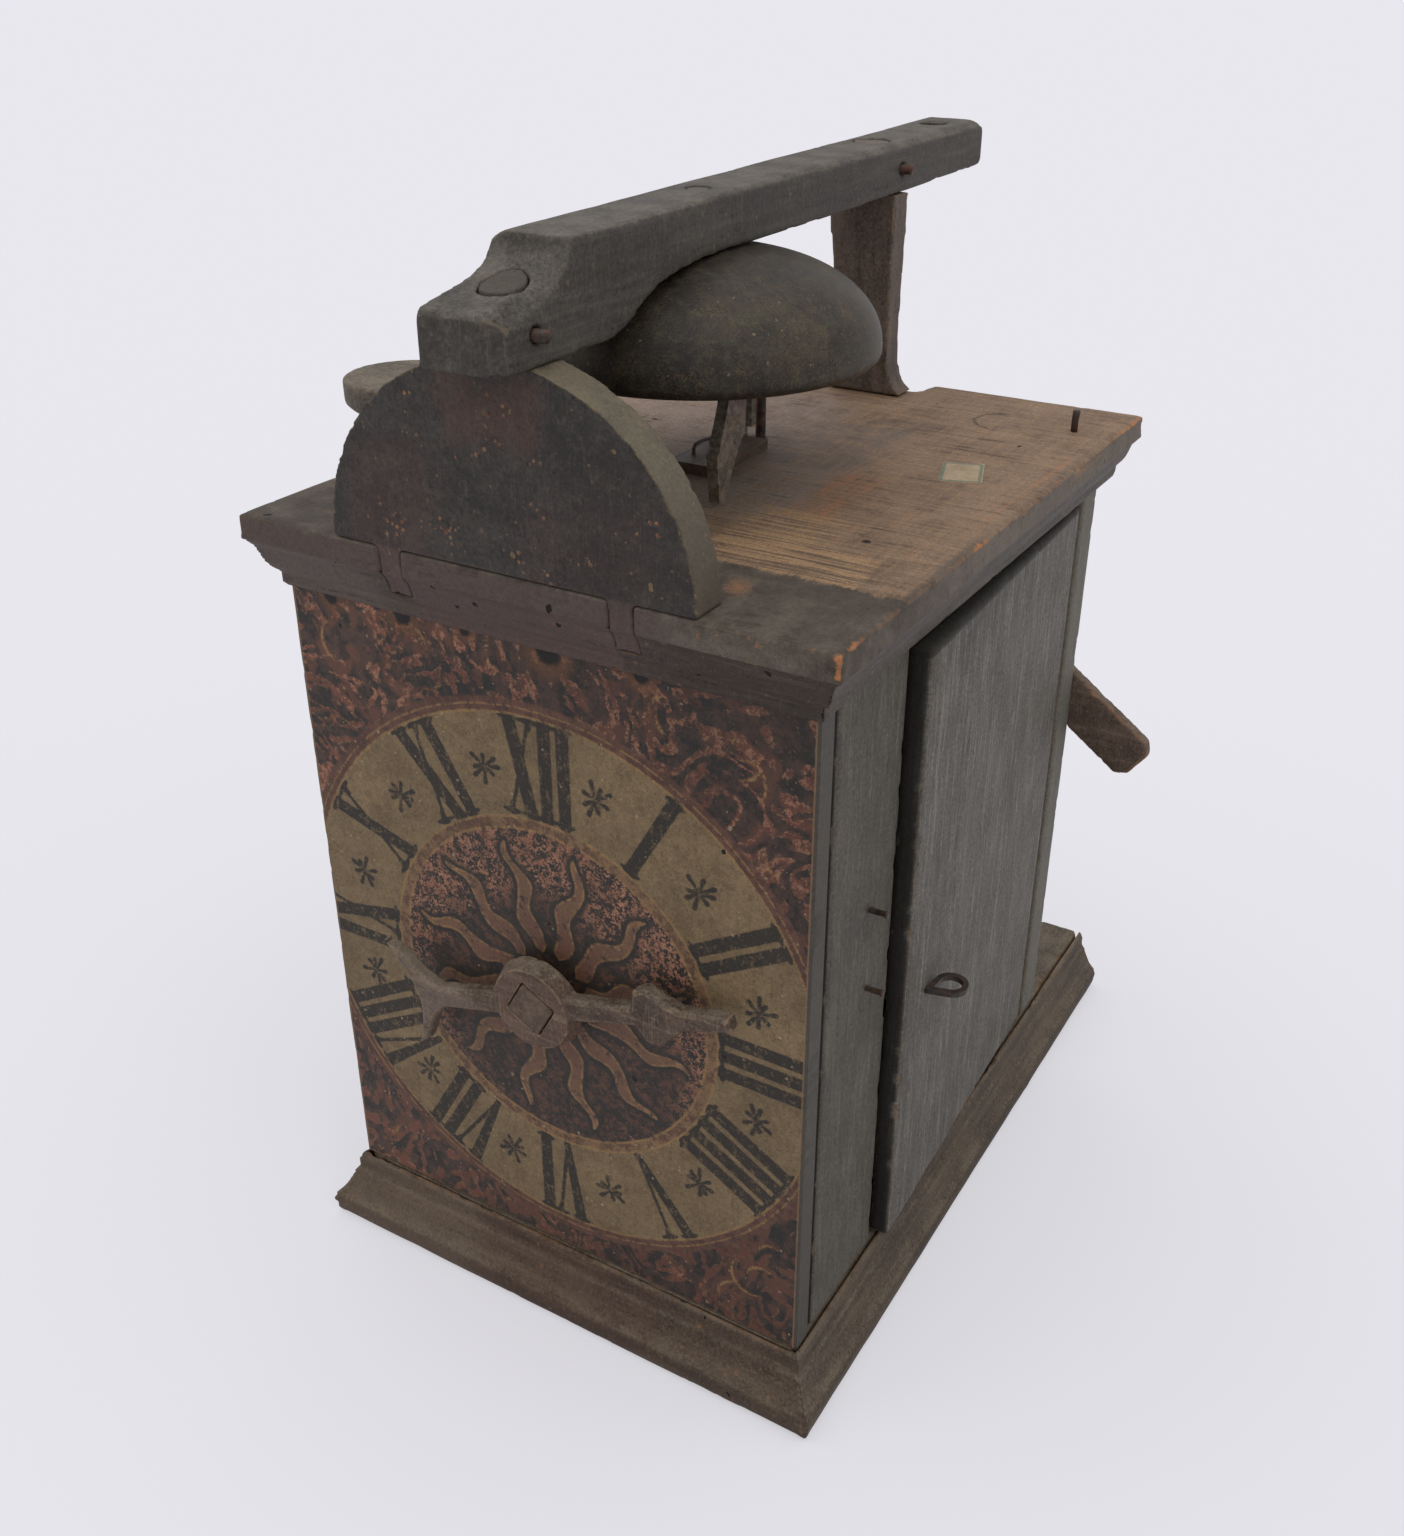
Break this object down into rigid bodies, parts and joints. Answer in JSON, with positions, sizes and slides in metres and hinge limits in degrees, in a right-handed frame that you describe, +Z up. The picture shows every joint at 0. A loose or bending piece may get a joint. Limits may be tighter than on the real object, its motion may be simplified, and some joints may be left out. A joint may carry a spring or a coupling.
{
  "type": "wooden striking wall clock",
  "caption": "Wooden one-hand striking clock: painted dial, half-round crest, bell under a beam, hinged side doors and lantern-pinion wheel trains inside.",
  "frame": {"origin": "on the base's underside, under the middle of the dial's painted face", "axes": "+X to the right when facing the dial, +Y from the dial to the back, +Z up"},
  "size_m": [0.2858, 0.3812, 0.465],
  "materials": {
    "dial_paint": "worn oil paint, satin",
    "moulding_paint": "worn dark paint",
    "side_paint": "worn grey-black paint",
    "crest_paint": "worn dark paint over red",
    "top_wood": "bare worn wood with paint remains",
    "beam_wood": "dark stained wood",
    "post_wood": "dark red-brown wood",
    "bare_wood": "bare aged wood",
    "movement_wood": "oiled hardwood",
    "hand_wood": "carved dark wood",
    "bell_metal": "dull patinated metal",
    "iron": "forged, rusted"
  },
  "bodies": {
    "case": {"back_board": "bare_wood", "base_board": "bare_wood", "base_moulding_front": "moulding_paint", "base_moulding_left": "moulding_paint", "base_moulding_right": "moulding_paint", "bell": "bell_metal", "bell_beam": "beam_wood", "bell_bolt": "iron", "bell_post": "post_wood", "cornice_front": "moulding_paint", "cornice_left": "moulding_paint", "cornice_right": "moulding_paint", "count_stud": "iron", "dial_board": "dial_paint", "hammer_bracket": "movement_wood", "hammer_check": "iron", "lunette": "crest_paint", "paddle_peg": "bare_wood", "side_rail_left": "side_paint", "side_rail_right": "side_paint", "stile_front_left": "side_paint", "stile_front_right": "side_paint", "stile_rear_left": "side_paint", "stile_rear_right": "side_paint", "strike_block": "bare_wood", "top_board": "top_wood", "turn_peg": "bare_wood", "upright_front": "movement_wood", "upright_middle": "movement_wood", "upright_rear": "movement_wood"},
    "hour_hand": {"hour_hand": "hand_wood", "hour_arbor": "hand_wood", "hour_wheel": "movement_wood"},
    "going_great": {"going_great_wheel": "movement_wood", "going_great_arbor": "movement_wood"},
    "going_second": {"going_second_wheel": "movement_wood", "going_second_arbor": "movement_wood"},
    "escape": {"escape_wheel": "movement_wood", "escape_arbor": "movement_wood"},
    "anchor": {"anchor": "iron", "anchor_arbor": "movement_wood"},
    "strike_great": {"strike_great_wheel": "movement_wood", "strike_great_arbor": "movement_wood"},
    "strike_second": {"strike_second_wheel": "movement_wood", "strike_second_arbor": "movement_wood"},
    "fly": {"fly_vane": "movement_wood", "fly_arbor": "movement_wood"},
    "count_wheel": {"count_wheel": "movement_wood"},
    "hammer": {"hammer_rod": "iron", "hammer_arm": "iron"},
    "door_right": {"door_right": "side_paint", "door_wire_right": "iron", "ring_pull_right": "iron"},
    "door_left": {"door_left": "side_paint", "door_wire_left": "iron", "ring_pull_left": "iron"},
    "turn_bar": {"turn_bar": "post_wood"},
    "paddle": {"paddle": "beam_wood"}
  },
  "joints": [
    {"name": "going_second_turn", "type": "hinge", "parent": "case", "child": "going_second", "pos_m": [0.02032, 0.078, 0.18522], "axis": [0, 1, 0], "continuous": true},
    {"name": "going_great_turn", "type": "hinge", "parent": "case", "child": "going_great", "pos_m": [0, 0.078, 0.1294], "axis": [0, 1, 0], "continuous": true},
    {"name": "escape_turn", "type": "hinge", "parent": "case", "child": "escape", "pos_m": [0, 0.078, 0.22671], "axis": [0, 1, 0], "continuous": true},
    {"name": "hour_hand_turn", "type": "hinge", "parent": "case", "child": "hour_hand", "pos_m": [0, 0.0185, 0.1714], "axis": [0, 1, 0], "continuous": true},
    {"name": "anchor_swing", "type": "hinge", "parent": "case", "child": "anchor", "pos_m": [0, 0.105, 0.26871], "axis": [0, 1, 0], "range_deg": [-3, 3]},
    {"name": "strike_second_turn", "type": "hinge", "parent": "case", "child": "strike_second", "pos_m": [0.0297, 0.173, 0.18084], "axis": [0, 1, 0], "continuous": true},
    {"name": "strike_great_turn", "type": "hinge", "parent": "case", "child": "strike_great", "pos_m": [0, 0.173, 0.1294], "axis": [0, 1, 0], "continuous": true},
    {"name": "fly_turn", "type": "hinge", "parent": "case", "child": "fly", "pos_m": [0.0297, 0.173, 0.22404], "axis": [0, 1, 0], "continuous": true},
    {"name": "count_wheel_turn", "type": "hinge", "parent": "case", "child": "count_wheel", "pos_m": [0, 0.235, 0.08425], "axis": [0, 1, 0], "continuous": true},
    {"name": "hammer_swing", "type": "hinge", "parent": "case", "child": "hammer", "pos_m": [-0.006, 0.177, 0.352], "axis": [0, 0, 1], "range_deg": [-5, 20]},
    {"name": "door_right_swing", "type": "hinge", "parent": "case", "child": "door_right", "pos_m": [0.11, 0.252, 0.1777], "axis": [0, 0, 1], "range_deg": [-2.2, 84]},
    {"name": "door_left_swing", "type": "hinge", "parent": "case", "child": "door_left", "pos_m": [-0.11, 0.252, 0.1777], "axis": [0, 0, 1], "range_deg": [-86, 0]},
    {"name": "turn_bar_swing", "type": "hinge", "parent": "case", "child": "turn_bar", "pos_m": [0.1036, 0.2808, 0.221], "axis": [0, 1, 0], "range_deg": [-36, 54]},
    {"name": "paddle_swing", "type": "hinge", "parent": "case", "child": "paddle", "pos_m": [-0.05, 0.0426, 0.392], "axis": [0, 0, 1], "range_deg": [-35, 0]}
  ],
  "couplings": [
    {"joint": "hour_hand_turn", "follows": "going_great_turn", "ratio": -0.16667},
    {"joint": "going_second_turn", "follows": "going_great_turn", "ratio": -10},
    {"joint": "escape_turn", "follows": "going_great_turn", "ratio": 100},
    {"joint": "strike_second_turn", "follows": "strike_great_turn", "ratio": -10},
    {"joint": "fly_turn", "follows": "strike_great_turn", "ratio": 80},
    {"joint": "count_wheel_turn", "follows": "strike_great_turn", "ratio": -0.10256}
  ]
}
